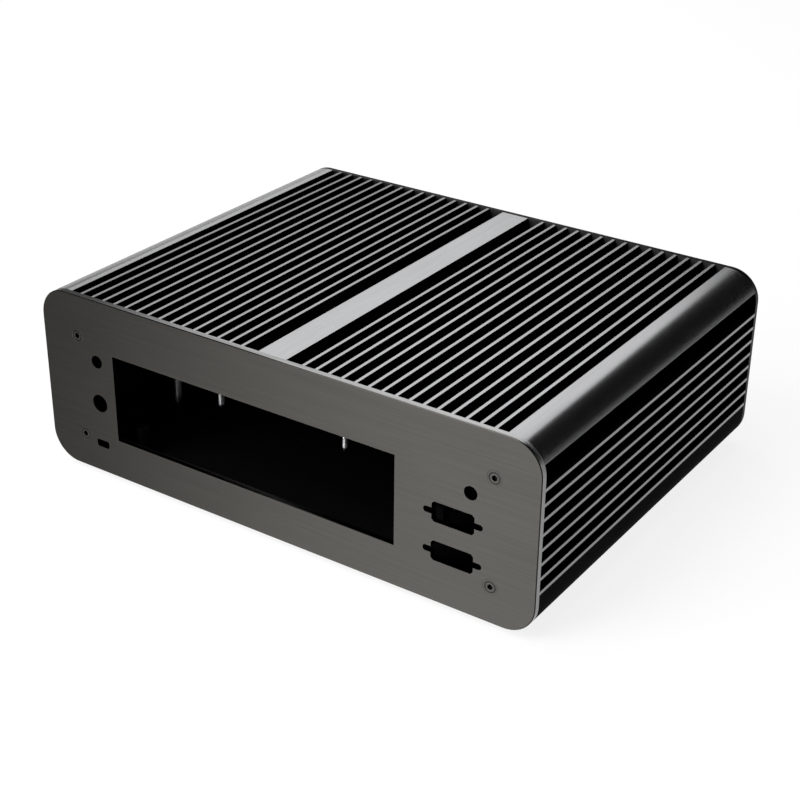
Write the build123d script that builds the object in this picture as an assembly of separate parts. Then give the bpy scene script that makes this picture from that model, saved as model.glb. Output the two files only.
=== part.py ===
from build123d import *
import os
from math import sqrt

# A fanless computer case for a Mini-ITX board. Two finned side extrusions and a finned top extrusion
# make the shell, and two flat plates close its ends. X runs across the case, Y from the connector
# panel to the front panel, Z up from the surface that the feet stand on. Sizes are in millimetres.

# Board and connector opening, both of standard size
board_size = 170.0
board_gap = 1.2
opening_width = 158.75
opening_height = 44.45
opening_inset = 3.8
opening_drop = 2.25
hole_edge = 6.35
hole_rear_edge = 10.16
hole_span_x = 157.48
hole_span_y = 154.94
hole_step = 22.86

# Shell
left_bay = 43.2
right_bay = 70.05
front_bay = 32.8
roof_room = 26.0
corner_radius = 15.0
panel_thickness = 3.0
panel_bevel = 0.4
foot_height = 3.0
flange_thickness = 4.0
base_thickness = 3.0
standoff_height = 15.8

# Top extrusion
top_fin_depth = 9.0
roof_thickness = 5.0
tap_share = 0.8
top_fin_pitch = 6.83
fin_thickness = 1.5
spine_width = 15.0
spine_gap = 8.35
cap_width = 17.8
cap_wall = 3.5
lip_thickness = 3.0
lip_drop = 9.5
tongue_width = 2.6
tongue_height = 2.0
tongue_inset = 15.5

# Side extrusions
side_fin_depth = 9.0
wall_thickness = 4.0
side_fin_pitch = 6.97
lowest_fin = 21.4
lip_gap = 10.5
shelf_thickness = 4.5
ledge_thickness = 3.0
port_inset = 21.7
lower_port_height = 17.9
upper_port_drop = 21.0
port_wall = 2.0
stalk_width = 3.0

# Screws, rods and their holes
panel_screw = 4.0
panel_screw_head = 7.2
panel_screw_length = 14.0
small_screw = 3.0
small_screw_head = 5.6
slim_screw_head = 4.6
socket_share = 0.35
socket_depth_share = 0.2
pan_head = 1.8
low_head = 1.2
clearance = 0.1
slack = 0.2
tie_rod = 4.0
tie_rod_edge = 4.5
tie_rod_reach = 52.5
nut_width = 7.0
nut_height = 3.2

# Holes in the connector panel
antenna_hole = 6.5
antenna_drop = 5.6
inlet_hole = 9.0
inlet_rise = 16.95
bay_hole_offset = 10.2
lock_slot_width = 7.5
lock_slot_height = 3.8
lock_slot_drop = 4.9
right_hole_inset = 32.6
serial_inset = 40.8
serial_body_width = 21.0
serial_body_height = 9.8
serial_corner = 1.2
serial_wing_width = 29.2
serial_wing_height = 3.0
serial_rise = 5.0
serial_pitch = 19.0

# Underside
base_screw_edge = 3.5
base_screw_rows = (-70.0, -24.0, 24.0, 70.0)
base_overlap = 7.0
foot_diameter = 14.0
foot_inset = 23.5
foot_recess_share = 0.6
foot_end_gap = 16.0
standoff_width = 6.0
standoff_hole = 2.5
standoff_hole_depth = 8.0
drive_span_x = 61.72
drive_span_y = 76.6
drive_hole = 3.4
drive_width = 70.0
vent_width = 3.6
vent_length = 30.0
vent_pitch = 8.0
vent_columns = 5
vent_margin = 10.0
vent_reach = 38.0

# Processor cooler
cpu_from_left = 63.4
cpu_from_rear = 83.3
cpu_clamp_span = 75.0
cpu_top_room = 9.2
block_screw_edge = 5.0
block_height = 8.0
block_corner = 2.0
block_tap_share = 0.6
pipe_diameter = 6.0
pipe_pitch = 10.0
pipe_count = 4
pipe_end_inset = 3.0
pipe_turn_gap = 6.0
pipe_end_gap = 18.0
pipe_end_overhang = 10.0
pipe_clamp_length = 44.0
pipe_clamp_height = 7.5
pipe_clamp_screw_span = 34.0
frame_thickness = 3.0
frame_arm_width = 12.0
frame_hub = 28.8
clamp_screw_gap = 1.8

# Power button
button_inset = 36.0
button_diameter = 12.0
button_travel = 1.5
button_flange = 14.0
button_flange_thickness = 1.0
button_stem = 4.0
guide_wall = 2.8
guide_web = 2.0
guide_length = 16.5
guide_web_depth = 8.0
ear_thickness = 2.5
ear_width = 9.0
ear_span = 26.0
spring_wire = 0.8
spring_turns = 5.0
switch_size = 6.0
switch_height = 3.6
plunger_diameter = 3.2
plunger_height = 1.6
switch_board_thickness = 1.5
led_offset = 20.0
led_diameter = 3.0
led_body = 5.0
led_body_length = 6.0
led_holder_wall = 1.4
led_leg = 0.6
led_leg_pitch = 2.54

# Front sockets
usb_inset = 50.0
usb_pitch = 20.0
usb_width = 13.2
usb_height = 5.8
usb_shell = 0.45
usb_depth = 14.0
usb_recess = 0.3
usb_tongue_width = 11.1
usb_tongue_height = 1.9
usb_stop = 2.8
usb_board_end = 6.4
usb_board_depth = 20.0
usb_board_thickness = 1.6
usb_boss_height = 2.0
usb_boss = 5.0
bracket_thickness = 2.0
bracket_drop = 11.0
bracket_screw_drop = 6.6
bracket_screw_span = 30.0
blind_depth = 2.0

# Places worked out from the sizes
width = left_bay + opening_width + right_bay
depth = 2 * panel_thickness + board_gap + board_size + front_bay
half_width = width / 2
half_depth = depth / 2
body_end = half_depth - panel_thickness
shell_bottom = foot_height
flange_top = shell_bottom + flange_thickness
base_top = flange_top + base_thickness
board_bottom = base_top + standoff_height
opening_bottom = board_bottom - opening_drop
opening_top = opening_bottom + opening_height
shell_top = opening_top + roof_room
shell_height = shell_top - shell_bottom
shell_middle = (shell_top + shell_bottom) / 2
opening_left = left_bay - half_width
opening_right = opening_left + opening_width
board_left = opening_left - opening_inset
board_rear = board_gap - body_end
roof_top = shell_top - top_fin_depth
roof_bottom = roof_top - roof_thickness
tap_depth = roof_thickness * tap_share
wall_outer = half_width - side_fin_depth
wall_inner = wall_outer - wall_thickness
lip_bottom = shell_top - lip_drop
port_x = half_width - port_inset
port_radius = panel_screw / 2 + clearance / 2 + port_wall
lower_port_z = shell_bottom + lower_port_height
upper_port_z = shell_top - upper_port_drop
flange_inner = port_x - stalk_width / 2 - slack - base_overlap - clearance
base_half_width = flange_inner + base_overlap
tie_rod_x = flange_inner - tie_rod_edge
base_screw_x = flange_inner + base_screw_edge
tongue_x = half_width - tongue_inset
cpu_x = board_left + cpu_from_left
cpu_y = board_rear + cpu_from_rear
block_bottom = board_bottom + cpu_top_room
pipe_low = block_bottom + block_height
block_tap = block_height * block_tap_share
block_top = pipe_low + block_height
pipe_radius = pipe_diameter / 2
block_screw_reach = (pipe_count - 1) * pipe_pitch / 2 + pipe_radius + small_screw_head / 2 + slack
block_size = 2 * (block_screw_reach + block_screw_edge)
pipe_high = roof_bottom - pipe_radius
pipe_end = port_x - port_radius - pipe_end_gap
far_clamp_x = pipe_end - pipe_end_overhang - pipe_clamp_length / 2
pipe_turn = (pipe_high - pipe_low) / 2
pipe_rows = [cpu_y + (i - (pipe_count - 1) / 2) * pipe_pitch for i in range(pipe_count)]
button_x = button_inset - half_width
usb_x = half_width - usb_inset
usb_board_length = usb_pitch + usb_width + 2 * usb_board_end
usb_bottom = shell_middle - usb_height / 2
usb_board_bottom = usb_bottom - usb_board_thickness
bracket_top = usb_board_bottom - usb_boss_height
board_holes = [
    (board_left + hole_edge, board_rear + hole_rear_edge),
    (board_left + hole_edge + hole_span_x, board_rear + hole_rear_edge + hole_step),
    (board_left + hole_edge, board_rear + hole_rear_edge + hole_span_y),
    (board_left + hole_edge + hole_span_x, board_rear + hole_rear_edge + hole_span_y),
]
drive_x = cpu_x + drive_span_x / 2
drive_holes = [(drive_x + a * drive_span_x / 2, b * drive_span_y / 2) for a in (-1, 1) for b in (-1, 1)]
tie_rods = [(a * tie_rod_x, b * tie_rod_reach) for a in (-1, 1) for b in (-1, 1)]
cpu_screws = [(cpu_x + a * cpu_clamp_span / 2, cpu_y + b * cpu_clamp_span / 2)
              for a in (-1, 1) for b in (-1, 1)]
foot_x = half_width - foot_inset
foot_y = body_end - foot_end_gap
foot_recess = foot_height * foot_recess_share
feet = [(a * foot_x, b * foot_y) for a in (-1, 1) for b in (-1, 1)]
panel_screws = [(a * port_x, z) for a in (-1, 1) for z in (lower_port_z, upper_port_z)]


def along_y(profile, y_from, y_to):
    """Extrude a profile drawn in X and Z from one depth to another."""
    return extrude(Plane.XZ.offset(-y_to) * profile, amount=y_to - y_from)


def along_z(profile, z_from, z_to):
    """Extrude a profile drawn in X and Y from one height to another."""
    return extrude(Pos(0, 0, z_from) * profile, amount=z_to - z_from)


def block(x_from, x_to, z_from, z_to):
    """A rectangle given by its four sides."""
    return Pos((x_from + x_to) / 2, (z_from + z_to) / 2) * Rectangle(x_to - x_from, z_to - z_from)


def countersunk(head, shank, length, grow=0.0):
    """A countersunk screw, or with grow its hole, with its flat head at the origin and pointing down."""
    head_radius, radius = head / 2 + grow, shank / 2 + grow / 2
    cone = Cone(radius, head_radius, head_radius - radius, align=(Align.CENTER, Align.CENTER, Align.MAX))
    return cone + Cylinder(radius, length, align=(Align.CENTER, Align.CENTER, Align.MAX))


def socket(head):
    outline = RegularPolygon(head * socket_share / 2, 6, major_radius=False)
    return extrude(outline, amount=-head * socket_depth_share)


def flat_screw(head, shank, length):
    """A countersunk screw with a hexagon socket."""
    return countersunk(head, shank, length) - socket(head)


def pan_screw(head, shank, length, head_height):
    """A screw with a low round head that rises from the origin, and its shank below."""
    top = Cylinder(head / 2, head_height, align=(Align.CENTER, Align.CENTER, Align.MIN))
    top = chamfer(top.edges().sort_by(Axis.Z)[-1], head_height / 4)
    return top + Cylinder(shank / 2, length, align=(Align.CENTER, Align.CENTER, Align.MAX)) \
        - Pos(0, 0, head_height) * socket(head)


def facing(x, y, z, direction):
    """A plane at a point whose normal looks along the given direction."""
    return Plane(origin=(x, y, z), z_dir=direction)


def group(solids):
    """Like solids that share one node."""
    return Compound(children=[s for s in solids])


def shell_outline(inset=0.0):
    """The rounded outline of the shell's end, or the same drawn in by a wall."""
    return Pos(0, shell_middle) * RectangleRounded(
        width - 2 * inset, shell_height - 2 * inset, corner_radius - inset)


def fin_places(first, last, pitch):
    """Centres of the fins that fit from the first place to the last."""
    count = int((last - first) / pitch + 0.05) + 1
    return [first + i * pitch for i in range(count)]


def make_top_heatsink():
    profile = block(-wall_outer, wall_outer, roof_bottom, roof_top)
    profile += block(-spine_width / 2, spine_width / 2, roof_top, shell_top)
    cap_inner = half_width - cap_width
    first_fin = spine_width / 2 + spine_gap + fin_thickness / 2
    corner = block(cap_inner, half_width, lip_bottom, shell_top)
    lip = (shell_outline() - shell_outline(lip_thickness)) & corner
    cap = lip + block(cap_inner, cap_inner + cap_wall, roof_top, shell_top - lip_thickness / 2)
    tongue = block(tongue_x - tongue_width / 2, tongue_x + tongue_width / 2,
                   roof_bottom - tongue_height, roof_bottom)
    for side in (1, -1):
        for x in fin_places(first_fin, cap_inner - 3 * fin_thickness, top_fin_pitch):
            profile += Pos(side * x, (roof_top + shell_top) / 2) * Rectangle(fin_thickness, top_fin_depth)
        profile += cap + tongue if side > 0 else mirror(cap + tongue, about=Plane.YZ)
    heatsink = along_y(profile, -body_end, body_end)
    for x, y in tie_rods:
        heatsink -= Pos(x, y, roof_bottom) * tapped(tie_rod)
    for x, y in clamp_screw_places():
        heatsink -= Pos(x, y, roof_bottom) * tapped(small_screw)
    return heatsink


def tapped(screw):
    """The blind hole that a screw or rod threads into from below."""
    return Cylinder(screw / 2 + clearance / 2, tap_depth, align=(Align.CENTER, Align.CENTER, Align.MIN))


def side_profile():
    """Section of the right side extrusion."""
    ledge_top = shell_bottom + lowest_fin + fin_thickness / 2
    ledge_bottom = ledge_top - ledge_thickness
    shelf_inner = port_x - port_radius
    fin_top = lip_bottom - lip_gap - fin_thickness / 2
    corner = (shell_outline() - shell_outline(flange_thickness)) \
        & block(flange_inner, half_width, shell_bottom, ledge_top)
    profile = corner + block(wall_inner, half_width, ledge_bottom, ledge_top)
    profile += block(wall_inner, wall_outer, ledge_bottom, roof_bottom)
    profile += block(shelf_inner, wall_outer, roof_bottom - shelf_thickness, roof_bottom)
    profile += block(shelf_inner, port_x + port_radius, upper_port_z, roof_bottom - shelf_thickness / 2)
    profile += Pos(port_x, upper_port_z) * Circle(port_radius)
    profile += Pos(port_x, lower_port_z) * Circle(port_radius)
    profile += block(port_x - stalk_width / 2, port_x + stalk_width / 2,
                     shell_bottom + flange_thickness / 2, lower_port_z)
    for z in fin_places(shell_bottom + lowest_fin, fin_top, side_fin_pitch)[1:]:
        profile += block(wall_outer - wall_thickness / 2, half_width, z - fin_thickness / 2,
                         z + fin_thickness / 2)
    for z in (lower_port_z, upper_port_z):
        profile -= Pos(port_x, z) * Circle(panel_screw / 2 + clearance / 2)
    groove = tongue_width / 2 + slack
    profile -= block(tongue_x - groove, tongue_x + groove, roof_bottom - tongue_height - slack, roof_bottom)
    return profile


def make_side_heatsink(side):
    heatsink = along_y(side_profile(), -body_end, body_end)
    for y in base_screw_rows:
        hole = countersunk(small_screw_head, small_screw, flange_thickness, clearance)
        heatsink -= facing(base_screw_x, y, shell_bottom, (0, 0, -1)) * hole
    for y in (-foot_y, foot_y):
        heatsink -= Pos(foot_x, y, shell_bottom) * Cylinder(
            small_screw / 2 + clearance / 2, flange_thickness, align=(Align.CENTER, Align.CENTER, Align.MIN))
    return heatsink if side > 0 else mirror(heatsink, about=Plane.YZ)


def make_base_plate():
    outline = Rectangle(2 * base_half_width, 2 * (body_end - slack))
    holes = [(x, y, small_screw + clearance) for x, y in board_holes]
    holes += [(side * base_screw_x, y, small_screw + clearance)
              for side in (-1, 1) for y in base_screw_rows]
    holes += [(x, y, drive_hole) for x, y in drive_holes]
    holes += [(x, y, tie_rod + slack) for x, y in tie_rods]
    for x, y, size in holes:
        outline -= Pos(x, y) * Circle(size / 2)
    for x, y in vent_places():
        outline -= Pos(x, y) * SlotOverall(vent_length, vent_width, rotation=90)
    return along_z(outline, flange_top, base_top)


def vent_places():
    """A row of slots on each side of the drive, towards the front panel."""
    start = drive_width / 2 + vent_margin
    return [(drive_x + side * (start + i * vent_pitch), vent_reach)
            for side in (-1, 1) for i in range(vent_columns)]


def blank_panel():
    """A plate of the shell's outline with four countersunk screw holes, its outer face at the origin."""
    plate = extrude(shell_outline(), amount=-panel_thickness)
    plate = chamfer(plate.faces().sort_by(Axis.Z)[-1].edges(), panel_bevel)
    for x, z in panel_screws:
        plate -= Pos(x, z) * countersunk(panel_screw_head, panel_screw, panel_thickness, clearance)
    return plate


def serial_cutout():
    body = Rectangle(serial_body_width, serial_body_height)
    body = chamfer(body.vertices(), serial_corner)
    return body + SlotOverall(serial_wing_width, serial_wing_height)


def make_rear_panel():
    panel = Plane.XZ.offset(half_depth) * blank_panel()
    bay_x = opening_left - bay_hole_offset
    right_hole_x = half_width - right_hole_inset
    serial_x = half_width - serial_inset
    cuts = block(opening_left, opening_right, opening_bottom, opening_top)
    cuts += Pos(bay_x, opening_top - antenna_drop) * Circle(antenna_hole / 2)
    cuts += Pos(right_hole_x, opening_top - antenna_drop) * Circle(antenna_hole / 2)
    cuts += Pos(bay_x, opening_bottom + inlet_rise) * Circle(inlet_hole / 2)
    cuts += Pos(bay_x, opening_bottom - lock_slot_drop) * RectangleRounded(
        lock_slot_width, lock_slot_height, lock_slot_height / 4)
    for i in range(2):
        cuts += Pos(serial_x, opening_bottom + serial_rise + i * serial_pitch) * serial_cutout()
    return panel - along_y(cuts, -half_depth - slack, -body_end + slack)


def make_front_panel():
    turned = Plane(origin=(0, half_depth, 0), x_dir=(-1, 0, 0), z_dir=(0, 1, 0))
    panel = turned * blank_panel()
    cuts = Pos(button_x, shell_middle) * Circle(button_diameter / 2 + slack)
    cuts += Pos(button_x + led_offset, shell_middle) * Circle(led_diameter / 2 + clearance / 2)
    socket_hole = RectangleRounded(usb_width + 2 * slack, usb_height + 2 * slack, 2 * slack)
    for x in usb_places():
        cuts += Pos(x, shell_middle) * socket_hole
    panel -= along_y(cuts, body_end - slack, half_depth + slack)
    blind = [(button_x, shell_middle + side * ear_span / 2) for side in (-1, 1)]
    blind += [(usb_x + side * bracket_screw_span / 2, bracket_screw_z()) for side in (-1, 1)]
    for x, z in blind:
        hole = Pos(x, z) * Circle(small_screw / 2 + clearance / 2)
        panel -= along_y(hole, body_end, body_end + blind_depth)
    return panel


def make_panel_screws(y, direction):
    return group([facing(x, y, z, direction) * flat_screw(panel_screw_head, panel_screw, panel_screw_length)
                  for x, z in panel_screws])


def make_base_screws():
    length = flange_thickness + base_thickness
    return group([facing(side * base_screw_x, y, shell_bottom, (0, 0, -1))
                  * flat_screw(small_screw_head, small_screw, length)
                  for side in (-1, 1) for y in base_screw_rows])


def make_rubber_feet():
    foot = Cone(foot_diameter / 2 - foot_height / 4, foot_diameter / 2, foot_height,
                align=(Align.CENTER, Align.CENTER, Align.MIN))
    foot -= Cylinder(small_screw_head / 2 + slack, foot_recess,
                     align=(Align.CENTER, Align.CENTER, Align.MIN))
    foot -= Cylinder(small_screw / 2 + clearance / 2, foot_height,
                     align=(Align.CENTER, Align.CENTER, Align.MIN))
    return group([Pos(x, y, 0) * foot for x, y in feet])


def make_foot_screws():
    web = foot_height - foot_recess
    return group([facing(x, y, foot_recess, (0, 0, -1)) * pan_screw(
        small_screw_head, small_screw, web + flange_thickness - slack, web) for x, y in feet])


def make_board_standoffs():
    post = extrude(RegularPolygon(standoff_width / 2, 6, major_radius=False), amount=standoff_height)
    post += Cylinder(small_screw / 2, base_thickness, align=(Align.CENTER, Align.CENTER, Align.MAX))
    post -= Pos(0, 0, standoff_height) * Cylinder(
        standoff_hole / 2, standoff_hole_depth, align=(Align.CENTER, Align.CENTER, Align.MAX))
    return group([Pos(x, y, base_top) * post for x, y in board_holes])


def make_tie_rods():
    low = flange_top - nut_height
    high = roof_bottom + tap_depth
    return group([along_z(Pos(x, y) * Circle(tie_rod / 2), low, high) for x, y in tie_rods])


def make_tie_rod_nuts():
    outline = RegularPolygon(nut_width / 2, 6, major_radius=False) - Circle(tie_rod / 2 + clearance / 2)
    nut = extrude(outline, amount=-nut_height)
    return group([Pos(x, y, flange_top) * nut for x, y in tie_rods])


def pipe_channels(z, top, x_from, x_to):
    """Round-bottomed channels for the pipes, open up to the given height."""
    radius = pipe_radius + clearance / 2
    cuts = None
    for y in pipe_rows:
        section = Plane.YZ.offset(x_from) * Pos(y, z) * Circle(radius)
        channel = extrude(section, amount=x_to - x_from)
        if top > z:
            open_part = Plane.YZ.offset(x_from) * block(y - radius, y + radius, z, top)
            channel += extrude(open_part, amount=x_to - x_from)
        cuts = channel if cuts is None else cuts + channel
    return cuts


def block_screw_places():
    reach = block_screw_reach
    return [(cpu_x + a * reach, cpu_y + b * reach) for a in (-1, 1) for b in (-1, 1)]


def make_cpu_block():
    plate = along_z(Pos(cpu_x, cpu_y) * RectangleRounded(block_size, block_size, block_corner),
                    block_bottom, pipe_low)
    plate -= pipe_channels(pipe_low, pipe_low, cpu_x - block_size, cpu_x + block_size)
    for x, y in block_screw_places():
        plate -= Pos(x, y, pipe_low) * Cylinder(small_screw / 2 + clearance / 2, block_tap,
                                                align=(Align.CENTER, Align.CENTER, Align.MAX))
    return plate


def make_cpu_block_cap():
    plate = along_z(Pos(cpu_x, cpu_y) * RectangleRounded(block_size, block_size, block_corner),
                    pipe_low, block_top)
    plate -= pipe_channels(pipe_low, pipe_low, cpu_x - block_size, cpu_x + block_size)
    for x, y in block_screw_places():
        plate -= Pos(x, y, block_top) * countersunk(small_screw_head, small_screw, block_height, clearance)
    plate -= Pos(cpu_x, cpu_y, block_top) * Cylinder(
        small_screw / 2 + clearance / 2, block_height / 2, align=(Align.CENTER, Align.CENTER, Align.MAX))
    return plate


def make_block_screws():
    return group([Pos(x, y, block_top) * flat_screw(small_screw_head, small_screw, block_height + block_tap)
                  for x, y in block_screw_places()])


def make_heat_pipe(y):
    turn_x = cpu_x - block_size / 2 - pipe_turn_gap
    low_end = cpu_x + block_size / 2 - pipe_end_inset
    middle = (pipe_low + pipe_high) / 2
    lower = Line((low_end, pipe_low), (turn_x, pipe_low))
    turn = ThreePointArc((turn_x, pipe_low), (turn_x - pipe_turn, middle), (turn_x, pipe_high))
    upper = Line((turn_x, pipe_high), (pipe_end, pipe_high))
    path = Plane.XZ.offset(-y) * (Curve() + [lower, turn, upper])
    start = Plane(origin=(low_end, y, pipe_low), z_dir=(-1, 0, 0))
    pipe = sweep(start * Circle(pipe_radius), path=path)
    ends = pipe.faces().filter_by(Axis.X)
    return fillet(ends.edges(), pipe_radius * 0.4)


def clamp_centres():
    return [cpu_x, far_clamp_x]


def clamp_screw_places():
    reach_x = pipe_clamp_screw_span / 2
    return [(c + a * reach_x, cpu_y + b * block_screw_reach)
            for c in clamp_centres() for a in (-1, 1) for b in (-1, 1)]


def make_pipe_clamp(centre):
    low = roof_bottom - pipe_clamp_height
    bar = along_z(Pos(centre, cpu_y) * RectangleRounded(pipe_clamp_length, block_size, block_corner),
                  low, roof_bottom)
    bar -= pipe_channels(pipe_high, roof_bottom, centre - block_size, centre + block_size)
    for x, y in clamp_screw_places():
        hole = countersunk(small_screw_head, small_screw, pipe_clamp_height, clearance)
        bar -= facing(x, y, low, (0, 0, -1)) * hole
    return bar


def make_pipe_clamp_screws():
    low = roof_bottom - pipe_clamp_height
    length = pipe_clamp_height + tap_depth - slack
    return group([facing(x, y, low, (0, 0, -1)) * flat_screw(small_screw_head, small_screw, length)
                  for x, y in clamp_screw_places()])


def make_cpu_clamp_frame():
    reach = cpu_clamp_span * sqrt(2) + frame_arm_width
    outline = Circle(frame_hub / 2)
    for angle in (45, -45):
        outline += Rot(0, 0, angle) * SlotOverall(reach, frame_arm_width)
    outline -= Circle(small_screw / 2 + clearance)
    for x, y in cpu_screws:
        outline -= Pos(x - cpu_x, y - cpu_y) * Circle(small_screw / 2 + slack)
    return along_z(Pos(cpu_x, cpu_y) * outline, block_top, block_top + frame_thickness)


def make_clamp_frame_screw():
    length = frame_thickness + block_height / 2 - slack
    screw = pan_screw(small_screw_head, small_screw, length, pan_head)
    return Pos(cpu_x, cpu_y, block_top + frame_thickness) * screw


def make_cpu_clamp_screws():
    top = block_top + frame_thickness
    length = top - board_bottom - clamp_screw_gap
    screw = pan_screw(small_screw_head, small_screw, length, pan_head)
    return group([Pos(x, y, top) * screw for x, y in cpu_screws])


def make_power_button():
    centre = Pos(button_x, shell_middle)
    flange_front = body_end - slack
    flange_back = flange_front - button_flange_thickness
    cap = along_y(centre * Circle(button_diameter / 2), flange_back, half_depth)
    cap = fillet(cap.edges().group_by(Axis.Y)[-1], panel_bevel)
    cap += along_y(centre * Circle(button_flange / 2), flange_back, flange_front)
    plunger_tip = body_end - guide_length + switch_height + plunger_height
    stem_end = plunger_tip + button_travel + clearance
    cap += along_y(centre * Circle(button_stem / 2), stem_end, flange_front)
    return cap


def make_button_guide():
    centre = Pos(button_x, shell_middle)
    bore = button_flange / 2 + slack
    outer = bore + guide_wall
    rear = body_end - guide_length
    guide = along_y(centre * Circle(outer), rear, body_end)
    web_front = body_end - guide_web_depth
    guide -= along_y(centre * Circle(bore), web_front, body_end)
    guide -= along_y(centre * Circle(bore), rear, web_front - guide_web)
    guide -= along_y(centre * Circle(button_stem / 2 + slack), web_front - guide_web, web_front)
    ear = SlotOverall(ear_span + ear_width, ear_width, rotation=90) - Circle(bore)
    for side in (-1, 1):
        ear -= Pos(0, side * ear_span / 2) * Circle(small_screw / 2 + clearance)
    return guide + along_y(centre * ear, body_end - ear_thickness, body_end)


def make_guide_screws():
    length = ear_thickness + blind_depth - slack
    return group([facing(button_x, body_end - ear_thickness, shell_middle + side * ear_span / 2, (0, -1, 0))
                  * pan_screw(slim_screw_head, small_screw, length, low_head)
                  for side in (-1, 1)])


def make_button_spring():
    front = body_end - slack - button_flange_thickness
    back = body_end - guide_web_depth
    coil = (button_flange + button_stem) / 4 + slack
    rise = front - back - spring_wire - slack
    helix = Helix(pitch=rise / spring_turns, height=rise, radius=coil)
    wire = sweep(Plane(origin=helix @ 0, z_dir=helix % 0) * RegularPolygon(spring_wire / 2, 6), path=helix)
    start = Plane(origin=(button_x, back + spring_wire / 2 + slack / 2, shell_middle), z_dir=(0, 1, 0))
    return start * wire


def make_switch():
    rear = body_end - guide_length
    centre = Pos(button_x, shell_middle)
    body = along_y(centre * Rectangle(switch_size, switch_size), rear, rear + switch_height)
    return body + along_y(centre * Circle(plunger_diameter / 2), rear, rear + switch_height + plunger_height)


def make_switch_board():
    rear = body_end - guide_length
    size = button_flange + 2 * guide_wall
    return along_y(Pos(button_x, shell_middle) * RectangleRounded(size, size, guide_wall / 2),
                   rear - switch_board_thickness, rear)


def led_place():
    return Pos(button_x + led_offset, shell_middle)


def make_led_lens():
    lens = along_y(led_place() * Circle(led_diameter / 2), body_end, half_depth)
    return fillet(lens.edges().group_by(Axis.Y)[-1], panel_bevel)


def make_led():
    lamp = along_y(led_place() * Circle(led_body / 2), body_end - led_body_length, body_end)
    for side in (-1, 1):
        leg = led_place() * Pos(side * led_leg_pitch / 2, 0) * Rectangle(led_leg, led_leg)
        lamp += along_y(leg, body_end - 2 * led_body_length, body_end - led_body_length)
    return lamp


def make_led_holder():
    inner = led_body / 2 + clearance / 2
    ring = led_place() * (Circle(inner + led_holder_wall) - Circle(inner))
    return along_y(ring, body_end - led_body_length, body_end)


def usb_places():
    return [usb_x + side * usb_pitch / 2 for side in (-1, 1)]


def bracket_screw_z():
    return bracket_top - bracket_screw_drop


def make_usb_shells():
    front = half_depth - usb_recess
    outer = RectangleRounded(usb_width, usb_height, usb_shell)
    inner = Rectangle(usb_width - 2 * usb_shell, usb_height - 2 * usb_shell)
    back = front - usb_depth
    shells = []
    for x in usb_places():
        tube = along_y(Pos(x, shell_middle) * (outer - inner), back, front)
        tube += along_y(Pos(x, shell_middle) * inner, back, back + usb_shell)
        shells.append(tube)
    return shells


def make_usb_insert(x):
    back = half_depth - usb_recess - usb_depth + usb_shell
    play = 2 * usb_shell + clearance
    stop = RectangleRounded(usb_width - play, usb_height - play, clearance)
    insert = along_y(Pos(x, shell_middle) * stop, back, back + usb_stop)
    tongue = Pos(x, shell_middle + usb_tongue_height / 2) * Rectangle(usb_tongue_width, usb_tongue_height)
    return insert + along_y(tongue, back, half_depth - 2 * usb_recess)


def usb_boss_places():
    reach_x = usb_board_length / 2 - usb_boss / 2
    front = body_end - slack - usb_boss / 2
    back = front - usb_board_depth + usb_boss
    return [(usb_x + side * reach_x, y) for side in (-1, 1) for y in (back, front)]


def make_usb_board():
    outline = block(usb_x - usb_board_length / 2, usb_x + usb_board_length / 2,
                    body_end - slack - usb_board_depth, body_end - slack)
    for x, y in usb_boss_places():
        outline -= Pos(x, y) * Circle(small_screw / 2 - clearance)
    return along_z(outline, usb_board_bottom, usb_bottom)


def make_usb_bracket():
    outline = block(usb_x - usb_board_length / 2, usb_x + usb_board_length / 2,
                    body_end - slack - usb_board_depth, body_end)
    bracket = along_z(outline, bracket_top - bracket_thickness, bracket_top)
    tab = block(usb_x - usb_board_length / 2, usb_x + usb_board_length / 2,
                bracket_top - bracket_drop, bracket_top)
    for side in (-1, 1):
        hole = Circle(small_screw / 2 + clearance)
        tab -= Pos(usb_x + side * bracket_screw_span / 2, bracket_screw_z()) * hole
    bracket += along_y(tab, body_end - bracket_thickness, body_end)
    for x, y in usb_boss_places():
        bracket += along_z(Pos(x, y) * Circle(usb_boss / 2), bracket_top, usb_board_bottom)
    for x, y in usb_boss_places():
        bracket -= along_z(Pos(x, y) * Circle(small_screw / 2 - clearance),
                           bracket_top - bracket_thickness, usb_board_bottom)
    return bracket


def make_usb_bracket_screws():
    length = bracket_thickness + blind_depth - slack
    return group([facing(usb_x + side * bracket_screw_span / 2, body_end - bracket_thickness,
                         bracket_screw_z(), (0, -1, 0))
                  * pan_screw(small_screw_head, small_screw, length, low_head) for side in (-1, 1)])


def make_usb_board_screws():
    length = usb_board_thickness + usb_boss_height + bracket_thickness
    screw = pan_screw(slim_screw_head, small_screw - 3 * clearance, length, low_head)
    return group([Pos(x, y, usb_bottom) * screw for x, y in usb_boss_places()])


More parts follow.
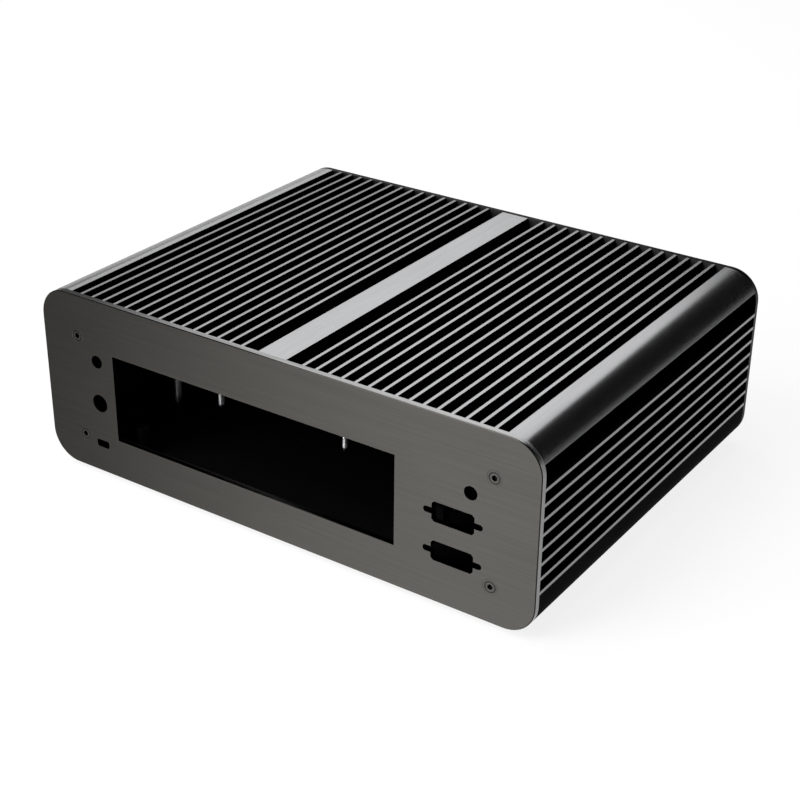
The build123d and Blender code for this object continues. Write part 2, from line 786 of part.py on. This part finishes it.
nodes = {
    "top_heatsink": make_top_heatsink(),
    "left_heatsink": make_side_heatsink(-1),
    "right_heatsink": make_side_heatsink(1),
    "base_plate": make_base_plate(),
    "rear_panel": make_rear_panel(),
    "front_panel": make_front_panel(),
    "rear_panel_screws": make_panel_screws(-half_depth, (0, -1, 0)),
    "front_panel_screws": make_panel_screws(half_depth, (0, 1, 0)),
    "base_screws": make_base_screws(),
    "rubber_feet": make_rubber_feet(),
    "foot_screws": make_foot_screws(),
    "board_standoffs": make_board_standoffs(),
    "tie_rods": make_tie_rods(),
    "tie_rod_nuts": make_tie_rod_nuts(),
    "cpu_block": make_cpu_block(),
    "cpu_block_cap": make_cpu_block_cap(),
    "cpu_block_screws": make_block_screws(),
    "cpu_clamp_frame": make_cpu_clamp_frame(),
    "cpu_clamp_frame_screw": make_clamp_frame_screw(),
    "cpu_clamp_screws": make_cpu_clamp_screws(),
    "pipe_clamp_near": make_pipe_clamp(clamp_centres()[0]),
    "pipe_clamp_far": make_pipe_clamp(clamp_centres()[1]),
    "pipe_clamp_screws": make_pipe_clamp_screws(),
    "power_button": make_power_button(),
    "button_guide": make_button_guide(),
    "button_guide_screws": make_guide_screws(),
    "button_spring": make_button_spring(),
    "power_switch": make_switch(),
    "switch_board": make_switch_board(),
    "power_light_lens": make_led_lens(),
    "power_light": make_led(),
    "power_light_holder": make_led_holder(),
    "usb_board": make_usb_board(),
    "usb_bracket": make_usb_bracket(),
    "usb_bracket_screws": make_usb_bracket_screws(),
    "usb_board_screws": make_usb_board_screws(),
}
for number, row in enumerate(pipe_rows, start=1):
    nodes[f"heat_pipe_{number}"] = make_heat_pipe(row)
for number, (shell, x) in enumerate(zip(make_usb_shells(), usb_places()), start=1):
    nodes[f"usb_shell_{number}"] = shell
    nodes[f"usb_insert_{number}"] = make_usb_insert(x)

os.makedirs("parts", exist_ok=True)
for name, shape in nodes.items():
    export_step(shape, f"parts/{name}.step")
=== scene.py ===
import bpy
from math import cos, pi, radians, sin
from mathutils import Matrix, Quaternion, Vector


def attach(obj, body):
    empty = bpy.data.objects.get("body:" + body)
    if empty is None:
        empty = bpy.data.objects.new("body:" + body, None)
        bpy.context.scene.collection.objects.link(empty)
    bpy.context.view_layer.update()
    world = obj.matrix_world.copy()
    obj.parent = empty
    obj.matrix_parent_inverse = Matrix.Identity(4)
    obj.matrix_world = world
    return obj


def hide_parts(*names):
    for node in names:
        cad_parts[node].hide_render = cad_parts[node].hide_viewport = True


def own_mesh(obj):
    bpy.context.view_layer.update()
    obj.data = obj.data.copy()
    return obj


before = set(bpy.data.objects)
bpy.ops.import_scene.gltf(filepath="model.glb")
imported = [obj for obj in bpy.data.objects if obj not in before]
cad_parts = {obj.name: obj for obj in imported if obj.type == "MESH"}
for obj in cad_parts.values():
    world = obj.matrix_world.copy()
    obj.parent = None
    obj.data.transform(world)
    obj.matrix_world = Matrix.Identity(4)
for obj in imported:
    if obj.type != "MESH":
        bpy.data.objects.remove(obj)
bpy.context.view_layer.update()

# Top and side heat sinks.
# Black anodised aluminium extrusions, milled bare afterwards on the fin tips, the middle strip and the two
# rounded upper corners. The bare metal carries painted shade: it is darker on the sides and the lower
# corner curves, to the left, towards the rear and on the rounded left corner.


class Signal:
    """One socket of a material's nodes. Signals add, subtract and multiply as numbers do."""

    def __init__(self, socket):
        self.socket = socket

    def node(self, kind, settings, values, output=0):
        """Any other node: its type, its settings, what its sockets hold, and the output that is wanted."""
        tree = self.socket.id_data
        made = tree.nodes.new("ShaderNode" + kind)
        for name, value in settings.items():
            setattr(made, name, value)
        for name, value in values.items():
            if isinstance(value, Signal):
                tree.links.new(value.socket, made.inputs[name])
            else:
                made.inputs[name].default_value = value
        return Signal(made.outputs[output])

    def math(self, operation, *others):
        """One step of arithmetic on this and any other numbers or signals."""
        return self.node("Math", {"operation": operation}, dict(enumerate((self,) + others)))

    def __add__(self, other):
        return self.math("ADD", other)

    __radd__ = __add__

    def __sub__(self, other):
        return self.math("SUBTRACT", other)

    def __rsub__(self, other):
        return self.math("MULTIPLY", -1.0) + other

    def __mul__(self, other):
        return self.math("MULTIPLY", other)

    __rmul__ = __mul__

    def between(self, start, end):
        """How far this is on the way from start to end, from 0 to 1."""
        return self.node("MapRange", {}, {"Value": self, "From Min": start, "From Max": end})

    def mix(self, first, second):
        """The colour this far from the first to the second."""
        return self.node("Mix", {"data_type": "RGBA"}, {0: self, 6: first, 7: second}, 2)

    def parts(self):
        """The X, Y and Z of a place on the part, in millimetres."""
        place = self.node("VectorMath", {"operation": "SCALE"}, {0: self, "Scale": 1000.0})
        split = place.node("SeparateXYZ", {}, {0: place}).socket.node
        return [Signal(socket) for socket in split.outputs]

    def grain(self, size_x, size_y, size_z, detail=2.0):
        """Soft noise whose specks have these sizes in millimetres."""
        stretch = (1000.0 / size_x, 1000.0 / size_y, 1000.0 / size_z)
        place = self.node("VectorMath", {"operation": "MULTIPLY"}, {0: self, 1: stretch})
        return place.node("TexNoise", {}, {"Vector": place, "Scale": 1.0, "Detail": detail})


def start_finish(name):
    """A new material, and the place on the part that its nodes start from."""
    finish = bpy.data.materials.new(name)
    finish.use_nodes = True
    finish.node_tree.nodes.clear()
    return finish, Signal(finish.node_tree.nodes.new("ShaderNodeTexCoord").outputs["Object"])


def end_finish(finish, values, relief=None, depth=0.0):
    """Closes a material with its shader, and gives the surface a relief of that depth in millimetres."""
    tree = finish.node_tree
    shader = Signal(tree.nodes.new("ShaderNodeOutputMaterial").inputs["Surface"])
    if relief is not None:
        values["Normal"] = relief.node("Bump", {}, {"Height": relief, "Distance": depth / 1000.0})
    coat = shader.node("BsdfPrincipled", {}, values)
    tree.links.new(coat.socket, shader.socket)


def dress(finish, *names):
    """Gives CAD nodes their finish."""
    for name in names:
        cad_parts[name].data.materials.clear()
        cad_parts[name].data.materials.append(finish)


def outline_depth(x, z):
    """How far a place lies outside the rounded outline of the case, in millimetres."""
    radius = 15.0
    half_width, half_height, middle = 136.0, 45.5, 48.5
    across = x.math("ABSOLUTE") - (half_width - radius)
    upward = (z - middle).math("ABSOLUTE") - (half_height - radius)
    out_x = across.math("MAXIMUM", 0.0)
    out_z = upward.math("MAXIMUM", 0.0)
    rounded = (out_x * out_x + out_z * out_z).math("SQRT")
    return rounded + across.math("MAXIMUM", upward).math("MINIMUM", 0.0) - radius


extrusion, place = start_finish("extrusion")
x, y, z = place.parts()
milling_depth, lowest_milled = 0.2, 23.6
bare = (outline_depth(x, z) - 0.1 * place.grain(0.6, 9.0, 0.6)).math("GREATER_THAN", -milling_depth)
bare = bare * z.math("GREATER_THAN", lowest_milled)
shoulder_start, shoulder_end = 83.5, 89.5
on_top = z.between(shoulder_start, shoulder_end)
milled = place.grain(0.3, 55.0, 0.3)
patches = place.grain(5.0, 70.0, 5.0)
cut = milled * 0.5 + patches * 0.5
# Painted shade: the sides and lower corner curves get a darker copy of the lit top's bare tone.
lit_top_tone = cut.mix((0.44, 0.442, 0.450, 1.0), (0.68, 0.683, 0.695, 1.0))
shaded_side_tone = cut.mix((0.140, 0.141, 0.143, 1.0), (0.240, 0.241, 0.245, 1.0))
half_strip, cap_start = 9.0, 117.0
off_middle = x.math("ABSOLUTE")
fin_tip = off_middle.math("GREATER_THAN", half_strip) * off_middle.math("LESS_THAN", cap_start)
to_left = x.between(40.0, -110.0)
to_rear = y.between(-40.0, 110.0)
left_cap = x.math("LESS_THAN", -cap_start)
left_corner = x.between(-123.5, -128.0)
# Painted shade: the fin tips darken to the left and towards the rear, and the left cap and rounded left
# corner darken too.
painted_shade = fin_tip * (0.4 * to_left + 0.3 * to_rear * (1.0 - 0.5 * to_left))
painted_shade = painted_shade + 0.12 * left_cap + 0.48 * left_corner
metal_tone = painted_shade.mix(on_top.mix(shaded_side_tone, lit_top_tone), (0.0, 0.0, 0.0, 1.0))
black_tone = place.grain(0.5, 0.5, 0.5).mix((0.004, 0.004, 0.0044, 1.0), (0.009, 0.009, 0.0098, 1.0))
end_finish(extrusion, {
    "Base Color": bare.mix(black_tone, metal_tone),
    "Metallic": bare,
    "Roughness": 0.62 - bare * (0.43 - 0.08 * milled - 0.25 * left_corner),
    "Specular IOR Level": 0.004,
}, milled * bare + (1.0 - bare) * place.grain(0.25, 0.25, 0.25), 0.006)
dress(extrusion, "top_heatsink", "left_heatsink", "right_heatsink")

# Connector panel.
# A flat aluminium plate 3 mm thick, brushed lengthwise. Its dark grey face is painted shade on the bare
# metal.
# Its edge is milled bare and carries painted shade: it grows dark to the left, is darker on the sides than
# on top, and is dark on the bevel. The walls of the holes are dark.
panel, place = start_finish("brushed_panel")
x, y, z = place.parts()
rim = outline_depth(x, z).between(-0.48, -0.36)
panel_face, bevel = 105.0, 0.4
behind_face = panel_face - y.math("ABSOLUTE")
hole_wall = (1.0 - rim) * behind_face.between(0.07, 0.12)
hairlines = place.grain(28.0, 28.0, 0.16, 3.0)
streaks = place.grain(90.0, 90.0, 1.3)
clouds = place.grain(60.0, 60.0, 30.0)
brushing = hairlines * 0.5 + streaks * 0.35 + clouds * 0.15
# Painted shade: the face's dark grey stands in for shade on bare brushed aluminium.
face_tone = brushing.mix((0.032, 0.0312, 0.0290, 1.0), (0.075, 0.0722, 0.0665, 1.0))
rim_cut = place.grain(14.0, 2.0, 14.0)
# Painted shade: the rim's top is lit bright and its sides are shaded darker.
lit_rim_top = rim_cut.mix((0.50, 0.50, 0.50, 1.0), (0.66, 0.66, 0.66, 1.0))
shaded_rim_side = rim_cut.mix((0.16, 0.16, 0.16, 1.0), (0.26, 0.26, 0.26, 1.0))
# Painted shade: the rim darkens to the left and on the bevel.
to_right = 0.5 * x.between(-105.0, -50.0) + 0.5 * x.between(-60.0, 90.0)
painted_edge_light = to_right * behind_face.between(bevel, bevel + 0.05)
bare_edge = z.between(shoulder_start, shoulder_end).mix(shaded_rim_side, lit_rim_top)
rim_tone = painted_edge_light.mix((0.03, 0.0293, 0.0278, 1.0), bare_edge)
end_finish(panel, {
    "Base Color": rim.mix(hole_wall.mix(face_tone, (0.006, 0.006, 0.006, 1.0)), rim_tone),
    "Metallic": 1.0,
    "Roughness": 0.50 + 0.06 * hairlines - 0.32 * rim,
    "Anisotropic": 1.0,
    "Anisotropic Rotation": 0.25,
}, hairlines, 0.01)
dress(panel, "rear_panel")

# Front panel.
# A plate of the same outline and thickness, brushed as well and anodised black, its rim too.
black_plate, place = start_finish("black_plate")
hairlines = place.grain(28.0, 28.0, 0.16, 3.0)
streaks = place.grain(90.0, 90.0, 1.3)
brushing = hairlines * 0.6 + streaks * 0.4
end_finish(black_plate, {
    "Base Color": brushing.mix((0.008, 0.008, 0.0085, 1.0), (0.022, 0.022, 0.023, 1.0)),
    "Metallic": 1.0,
    "Roughness": 0.44 + 0.08 * hairlines,
    "Anisotropic": 0.9,
    "Anisotropic Rotation": 0.25,
}, hairlines, 0.01)
dress(black_plate, "front_panel")

# Connector panel screws.
# Four turned steel countersunk screws with a hexagon socket, flush with the panel's face. Their dark tone
# is painted shade like the panel's face, a dark ring runs round the head, and the socket is painted dark
# as painted shade.
turned_screw, place = start_finish("turned_screw")
x, y, z = place.parts()
screw_x, screw_middle_z, half_gap_z = 114.3, 46.95, 26.05
off_x = x.math("ABSOLUTE") - screw_x
off_z = (z - screw_middle_z).math("ABSOLUTE") - half_gap_z
from_axis = (off_x * off_x + off_z * off_z).math("SQRT")
rings = (from_axis * 26.0).math("SINE") * 0.5 + 0.5
dark_ring = from_axis.between(2.10, 2.25) * from_axis.between(2.95, 2.80)
# Painted shade: the turned steel takes the panel's shaded tone.
shaded_turned_tone = rings.mix((0.036, 0.0352, 0.0328, 1.0), (0.076, 0.0735, 0.0680, 1.0))
shaded_turned_tone = dark_ring.mix(shaded_turned_tone, (0.021, 0.0205, 0.0192, 1.0))
# Painted shade: the socket is painted dark.
socket_shade = (panel_face - y.math("ABSOLUTE")).between(0.3, 0.9)
end_finish(turned_screw, {
    "Base Color": socket_shade.mix(shaded_turned_tone, (0.008, 0.008, 0.008, 1.0)),
    "Metallic": 1.0,
    "Roughness": 0.49 + 0.08 * place.grain(0.4, 0.4, 0.4),
    "Anisotropic": 1.0,
    "Anisotropic Rotation": 0.25,
}, rings, 0.01)
dress(turned_screw, "rear_panel_screws")

# Base plate.
# A black anodised sheet 3 mm thick that closes the bottom between the side extrusions.
base_sheet, place = start_finish("base_sheet")
rolled = place.grain(0.9, 12.0, 0.9)
end_finish(base_sheet, {
    "Base Color": rolled.mix((0.0018, 0.0018, 0.002, 1.0), (0.0042, 0.0042, 0.0046, 1.0)),
    "Roughness": 0.6 + 0.14 * place.grain(3.0, 3.0, 3.0),
    "Specular IOR Level": 0.002,
}, rolled, 0.015)
dress(base_sheet, "base_plate")

# Small black screws.
# Steel with a black oxide skin, in the front panel, the base, the feet, the cooler and the front sockets.
black_oxide, place = start_finish("black_oxide")
blotches = place.grain(0.8, 0.8, 0.8, 4.0)
end_finish(black_oxide, {
    "Base Color": blotches.mix((0.018, 0.018, 0.019, 1.0), (0.055, 0.053, 0.052, 1.0)),
    "Metallic": 0.8,
    "Roughness": 0.38 + 0.2 * blotches,
}, blotches, 0.01)
dress(black_oxide, "front_panel_screws", "base_screws", "foot_screws", "cpu_block_screws",
      "pipe_clamp_screws", "button_guide_screws", "usb_bracket_screws", "usb_board_screws")

# Feet.
# Four moulded rubber feet, matt black with a faint bloom, screwed to the side extrusions.
rubber, place = start_finish("foot_rubber")
bloom = place.grain(2.5, 2.5, 2.5, 4.0)
end_finish(rubber, {
    "Base Color": bloom.mix((0.012, 0.012, 0.012, 1.0), (0.032, 0.031, 0.03, 1.0)),
    "Roughness": 0.8 + 0.12 * bloom,
    "Specular IOR Level": 0.3,
}, place.grain(0.3, 0.3, 0.3), 0.04)
dress(rubber, "rubber_feet")

# Board standoffs.
# Hexagon posts, milled from bar and black anodised, pressed into the base plate.
black_post, place = start_finish("black_post")
z = place.parts()[2]
tool_marks = (z * 21.0).math("SINE") * 0.5 + 0.5
rubbed = place.grain(1.5, 1.5, 4.0, 3.0)
end_finish(black_post, {
    "Base Color": rubbed.mix((0.0015, 0.0015, 0.0017, 1.0), (0.004, 0.004, 0.0043, 1.0)),
    "Roughness": 0.5 + 0.16 * rubbed,
    "Specular IOR Level": 0.02,
}, tool_marks, 0.008)
dress(black_post, "board_standoffs")

# Tie rods and their nuts.
# Bright zinc plated steel with a rolled thread along its length. Near the base the rods and nuts are
# painted dark as painted shade.
rod_zinc, place = start_finish("rod_zinc")
z = place.parts()[2]
rod_pitch = 0.7
thread = (z * (2.0 * pi / rod_pitch)).math("SINE") * 0.5 + 0.5
frosting = place.grain(0.7, 0.7, 0.7, 3.0)
plating = frosting.mix((0.74, 0.75, 0.77, 1.0), (0.90, 0.90, 0.91, 1.0))
end_finish(rod_zinc, {
    # Painted shade: the rods and nuts are painted dark near the base.
    "Base Color": z.between(18.5, 24.5).mix((0.02, 0.02, 0.021, 1.0), plating),
    "Metallic": 1.0,
    "Roughness": 0.24 + 0.14 * frosting,
}, thread, 0.1)
dress(rod_zinc, "tie_rods", "tie_rod_nuts")

# Long clamp screws and the screw of the clamp frame.
# The same plated thread, dark on its last turns.
screw_zinc, place = start_finish("screw_zinc")
z = place.parts()[2]
screw_pitch = 0.5
thread = (z * (2.0 * pi / screw_pitch)).math("SINE") * 0.5 + 0.5
frosting = place.grain(0.7, 0.7, 0.7, 3.0)
# The last turns are dark.
above_dark_turns = (z + 0.5 * frosting).between(28.95, 29.55)
plating = frosting.mix((0.54, 0.55, 0.57, 1.0), (0.76, 0.76, 0.77, 1.0))
end_finish(screw_zinc, {
    "Base Color": above_dark_turns.mix((0.006, 0.006, 0.008, 1.0), plating),
    "Metallic": 0.85,
    "Roughness": 0.28 + 0.16 * frosting,
}, thread, 0.1)
dress(screw_zinc, "cpu_clamp_screws", "cpu_clamp_frame_screw")

# Processor block, its cap and the two pipe clamps.
# Milled bare aluminium: the cutter leaves fine arcs across the faces.
milled_block, place = start_finish("milled_block")
cutter = place.node("TexWave", {"wave_type": "RINGS", "rings_direction": "Z"},
                    {"Vector": place, "Scale": 420.0, "Distortion": 0.6, "Detail": 1.0}, 1)
smears = place.grain(6.0, 6.0, 6.0)
end_finish(milled_block, {
    "Base Color": (cutter * 0.4 + smears * 0.6).mix((0.56, 0.56, 0.57, 1.0), (0.74, 0.74, 0.75, 1.0)),
    "Metallic": 1.0,
    "Roughness": 0.28 + 0.12 * cutter,
}, cutter, 0.01)
dress(milled_block, "cpu_block", "cpu_block_cap", "pipe_clamp_near", "pipe_clamp_far")

# Heat pipes.
# Four round copper pipes, bent back on themselves, with the dull red-brown patches of heating.
copper, place = start_finish("pipe_copper")
heat_marks = place.grain(18.0, 8.0, 8.0, 4.0)
end_finish(copper, {
    "Base Color": heat_marks.between(0.35, 0.7).mix((0.75, 0.40, 0.26, 1.0), (0.45, 0.19, 0.11, 1.0)),
    "Metallic": 1.0,
    "Roughness": 0.26 + 0.2 * heat_marks,
}, place.grain(9.0, 0.3, 0.3), 0.01)
dress(copper, "heat_pipe_1", "heat_pipe_2", "heat_pipe_3", "heat_pipe_4")

# Clamp frame and socket bracket.
# Pressed steel with a black powder coat, which shows a fine orange peel.
powder_coat, place = start_finish("powder_coat")
peel = place.grain(0.8, 0.8, 0.8)
end_finish(powder_coat, {
    "Base Color": peel.mix((0.014, 0.014, 0.014, 1.0), (0.028, 0.028, 0.029, 1.0)),
    "Roughness": 0.42 + 0.12 * peel,
}, peel, 0.05)
dress(powder_coat, "cpu_clamp_frame", "usb_bracket")

# Power button.
# A turned aluminium cap, faced on the lathe, so fine rings run round its middle.
button_x, button_z = -0.1, 0.0485
spun, place = start_finish("spun_button")
x, y, z = place.parts()
off_x = x - 1000.0 * button_x
off_z = z - 1000.0 * button_z
from_axis = (off_x * off_x + off_z * off_z).math("SQRT")
rings = ((from_axis * 11.0).math("SINE") + (from_axis * 17.7).math("SINE")) * 0.25 + 0.5
uneven = place.grain(1.4, 1.4, 1.4)
end_finish(spun, {
    "Base Color": (rings * 0.7 + uneven * 0.3).mix((0.24, 0.237, 0.232, 1.0), (0.56, 0.555, 0.545, 1.0)),
    "Metallic": 1.0,
    "Roughness": 0.22 + 0.1 * uneven + 0.12 * rings,
}, rings, 0.02)
dress(spun, "power_button")

# Return spring.
# Drawn spring steel wire behind the button. On the real switch it shortens by the button's travel of 1.5
# mm and its inner end stays put; here the travel and the spring's length are only worked out, and the
# spring is not moved.
wire, place = start_finish("spring_wire")
drawn = place.grain(1.2, 0.2, 1.2, 3.0)
end_finish(wire, {
    "Base Color": drawn.mix((0.40, 0.40, 0.41, 1.0), (0.60, 0.60, 0.61, 1.0)),
    "Metallic": 1.0,
    "Roughness": 0.25 + 0.15 * drawn,
}, drawn, 0.01)
travel, inner_end = 0.0015, 0.094
spring_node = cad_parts["button_spring"]
spring = bpy.data.objects.new("return_spring", spring_node.data.copy())
bpy.context.scene.collection.objects.link(spring)
spring.matrix_world = spring_node.matrix_world.copy()
spring.data.materials.clear()
spring.data.materials.append(wire)
spring_length = max((spring.matrix_world @ vertex.co).y for vertex in spring.data.vertices) - inner_end
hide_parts("button_spring")
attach(spring, "case")
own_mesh(spring)

# Button guide, switch, lamp holder and socket inserts.
# Moulded black nylon with the fine grain of the mould.
nylon, place = start_finish("moulded_nylon")
mould = place.grain(0.22, 0.22, 0.22)
end_finish(nylon, {
    "Base Color": place.grain(4.0, 4.0, 4.0).mix((0.014, 0.014, 0.015, 1.0), (0.026, 0.026, 0.027, 1.0)),
    "Roughness": 0.5 + 0.15 * mould,
}, mould, 0.03)
dress(nylon, "button_guide", "power_switch", "power_light_holder", "usb_insert_1", "usb_insert_2")

# Power light and its lens.
# Clear plastic, a little milky, so that the lamp behind spreads over the whole lens.
milky, place = start_finish("milky_lens")
haze = place.grain(1.0, 1.0, 1.0, 3.0)
end_finish(milky, {
    "Base Color": haze.mix((0.62, 0.66, 0.70, 1.0), (0.78, 0.81, 0.84, 1.0)),
    "Roughness": 0.16 + 0.12 * haze,
    "IOR": 1.49,
}, haze, 0.01)
dress(milky, "power_light_lens", "power_light")

# Switch board and socket board.
# Glass fibre boards under a green solder mask, with the copper tracks just showing through.
mask_green, place = start_finish("solder_mask")
tracks = place.node("TexBrick", {"offset": 0.35}, {
    "Vector": place, "Scale": 900.0, "Mortar Size": 0.09, "Brick Width": 2.3, "Row Height": 1.1,
}, 1)
fibre = place.grain(0.5, 0.5, 0.5)
end_finish(mask_green, {
    "Base Color": (tracks * 0.7 + fibre * 0.3).mix((0.008, 0.085, 0.032, 1.0), (0.018, 0.15, 0.06, 1.0)),
    "Roughness": 0.26 + 0.12 * fibre,
}, tracks, 0.02)
dress(mask_green, "switch_board", "usb_board")

# Front sockets.
# Folded nickel plated steel shells.
nickel, place = start_finish("nickel_shell")
cloudy = place.grain(2.2, 2.2, 2.2, 3.0)
end_finish(nickel, {
    "Base Color": cloudy.mix((0.48, 0.47, 0.45, 1.0), (0.64, 0.63, 0.61, 1.0)),
    "Metallic": 1.0,
    "Roughness": 0.22 + 0.14 * cloudy,
}, place.grain(0.3, 6.0, 0.3), 0.008)
dress(nickel, "usb_shell_1", "usb_shell_2")

# Floor.
# A wide white table. It is white to the camera and in reflections, and still keeps the case's shadow.
bpy.ops.mesh.primitive_circle_add(vertices=96, radius=25.0, fill_type="NGON", location=(0.0, 0.0, 0.0))
floor = bpy.context.object
floor.name = "floor"
white_table, place = start_finish("white_table")
surface = Signal(white_table.node_tree.nodes.new("ShaderNodeOutputMaterial").inputs["Surface"])
rays = surface.node("LightPath", {}, {}).socket.node.outputs
seen = Signal(rays["Is Camera Ray"]).math("MAXIMUM", Signal(rays["Is Glossy Ray"]))
seen = seen.math("MAXIMUM", Signal(rays["Is Transmission Ray"]))
paper_tone = place.grain(4.0, 4.0, 4.0).mix((0.88, 0.88, 0.88, 1.0), (0.92, 0.92, 0.92, 1.0))
paper = surface.node("BsdfDiffuse", {}, {"Color": paper_tone})
glow = surface.node("Emission", {}, {"Color": (1.0, 1.0, 1.0, 1.0), "Strength": 1.0})
whiteness = 0.85
lit = surface.node("MixShader", {}, {0: seen * whiteness, 1: paper, 2: glow})
white_table.node_tree.links.new(lit.socket, surface.socket)
floor.data.materials.append(white_table)

# Studio.
# A dark room with a soft overall light and three soft boxes: a wide level oval that the bare top mirrors,
# a low one behind the left for the rounded edge there, and a tall one in front of the connector panel.
world = bpy.data.worlds.new("dark_room")
bpy.context.scene.world = world
world.use_nodes = True
world.node_tree.nodes["Background"].inputs["Color"].default_value = (0.005, 0.005, 0.005, 1.0)


def aim(lamp, place, target):
    """Puts a lamp at a place and turns it to the target."""
    lamp.location = place
    lamp.rotation_mode = "QUATERNION"
    lamp.rotation_quaternion = (Vector(target) - Vector(place)).to_track_quat("-Z", "Y")


def soft_box(name, shape, place, width, height, radiance):
    """A flat lamp of that size in metres, aimed at the case, which looks that bright."""
    light = bpy.data.lights.new(name, "AREA")
    light.shape = shape
    light.size = width
    light.size_y = height
    light.energy = radiance * pi * width * height * (pi / 4.0 if shape == "ELLIPSE" else 1.0)
    lamp = bpy.data.objects.new(name, light)
    lamp.visible_camera = False
    bpy.context.scene.collection.objects.link(lamp)
    aim(lamp, place, (0.0, 0.0, 0.05))
    return lamp


top_box = soft_box("top_soft_box", "ELLIPSE", (-0.462, 0.654, 0.594), 1.866, 0.882, 0.935)
top_box.rotation_quaternion = Quaternion((0.0, 0.0, 1.0), radians(127.6))
soft_box("low_soft_box", "RECTANGLE", (-1.25, 1.45, 0.31), 2.2, 0.6, 0.52)
soft_box("front_soft_box", "RECTANGLE", (-0.48, -1.15, 0.82), 0.8, 1.6, 7.7)
overall = bpy.data.lights.new("overall", "SUN")
overall.energy = 1.4
overall.angle = radians(50.0)
sun = bpy.data.objects.new("overall", overall)
bpy.context.scene.collection.objects.link(sun)
aim(sun, (-0.2, -0.3, 1.0), (0.0, 0.0, 0.0))

# Camera.
# It stands at the front right, above the case, a little tilted.
azimuth, elevation, tilt = radians(33.954), radians(27.6255), radians(0.6793)
back = Vector((sin(azimuth) * cos(elevation), -cos(azimuth) * cos(elevation), sin(elevation)))
lens = bpy.data.cameras.new("camera")
lens.sensor_width = 36.0
lens.lens = 73.35
lens.clip_start = 0.01
lens.clip_end = 100.0
camera = bpy.data.objects.new("camera", lens)
bpy.context.scene.collection.objects.link(camera)
camera.location = (0.39651, -0.59237, 0.4019)
camera.rotation_mode = "QUATERNION"
camera.rotation_quaternion = (-back).to_track_quat("-Z", "Y") @ Quaternion((0.0, 0.0, 1.0), tilt)
bpy.context.scene.camera = camera
bpy.context.scene.view_settings.view_transform = "Standard"
